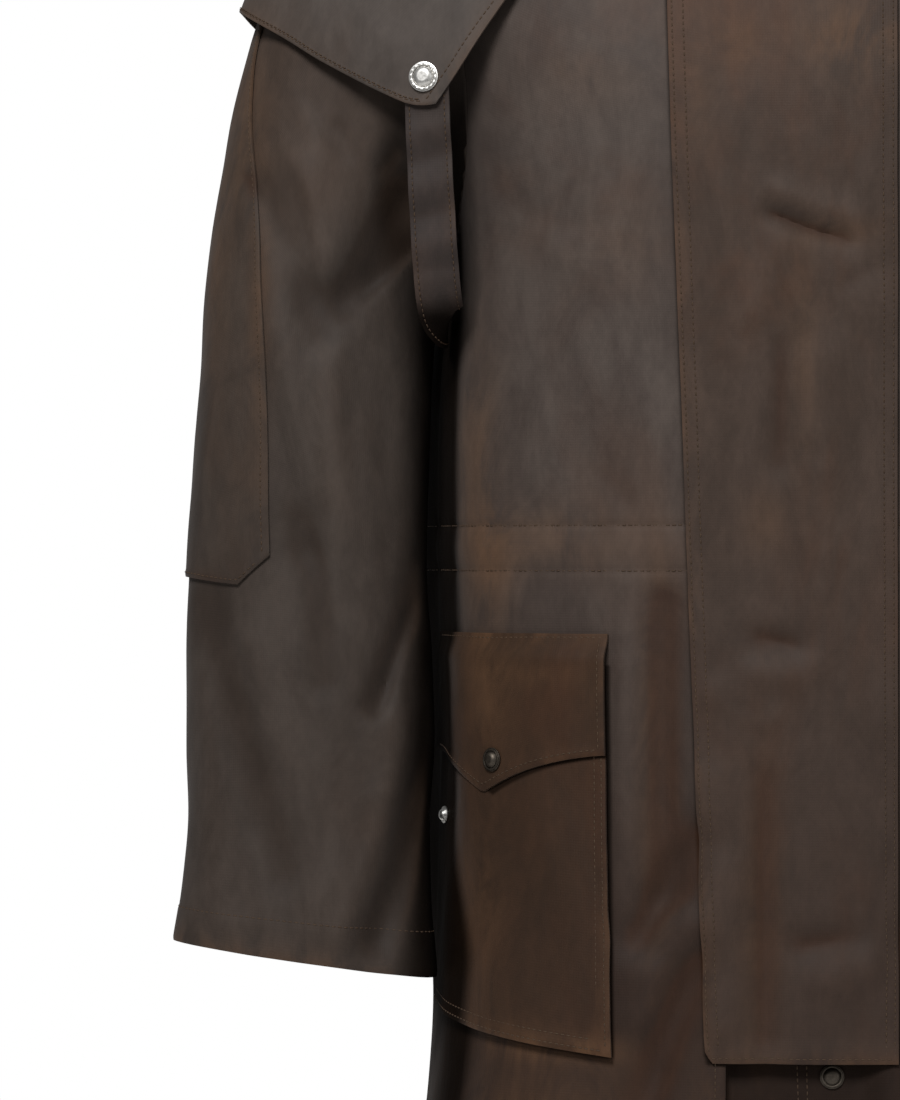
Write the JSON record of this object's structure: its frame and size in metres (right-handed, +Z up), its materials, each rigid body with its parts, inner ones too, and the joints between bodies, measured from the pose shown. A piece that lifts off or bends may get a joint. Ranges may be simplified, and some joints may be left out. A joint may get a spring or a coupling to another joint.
{
  "type": "duster coat",
  "caption": "Long waxed-cotton duster coat in its worn, hollow shape, with shoulder cape, storm flap, bellows pockets and elbow patches.",
  "frame": {"origin": "middle of the neck opening, at the height of the highest point of the shoulders", "axes": "+Z up, the front faces -Y, the wearer's right side is -X"},
  "size_m": [0.79, 0.4357, 1.2962],
  "materials": {
    "front": "waxed cotton, grey-brown, low sheen, worn tan patches",
    "back": "waxed cotton, grey-brown, low sheen",
    "flap": "waxed cotton, brown, low sheen, worn tan patches",
    "sleeve": "waxed cotton, dark grey-brown, creased",
    "cape": "waxed cotton, lighter grey-brown, matt",
    "collar": "waxed cotton, grey-brown, matt",
    "pocket": "waxed cotton, rusty brown, low sheen",
    "patch": "waxed cotton, brown, worn at its edges",
    "strap": "waxed cotton, grey-brown, matt",
    "bright_metal": "plated snap caps, softly polished",
    "dark_metal": "antiqued snap caps, worn bright at the rim"
  },
  "bodies": {
    "root": {"back": "back", "front_right": "front", "front_left": "front", "storm_flap": "flap", "sleeve_right": "sleeve", "sleeve_left": "sleeve", "elbow_patch_right": "patch", "elbow_patch_left": "patch", "cape": "cape", "collar": "collar", "cape_strap_right": "strap", "cape_strap_left": "strap", "pocket_right": "pocket", "pocket_left": "pocket", "pocket_flap_right": "pocket", "pocket_flap_left": "pocket", "cape_snap_right": "bright_metal", "cape_snap_left": "bright_metal", "pocket_snap_right": "dark_metal", "pocket_snap_left": "dark_metal", "side_snap_right": "bright_metal", "side_snap_left": "bright_metal", "front_snap": "bright_metal"}
  },
  "joints": []
}
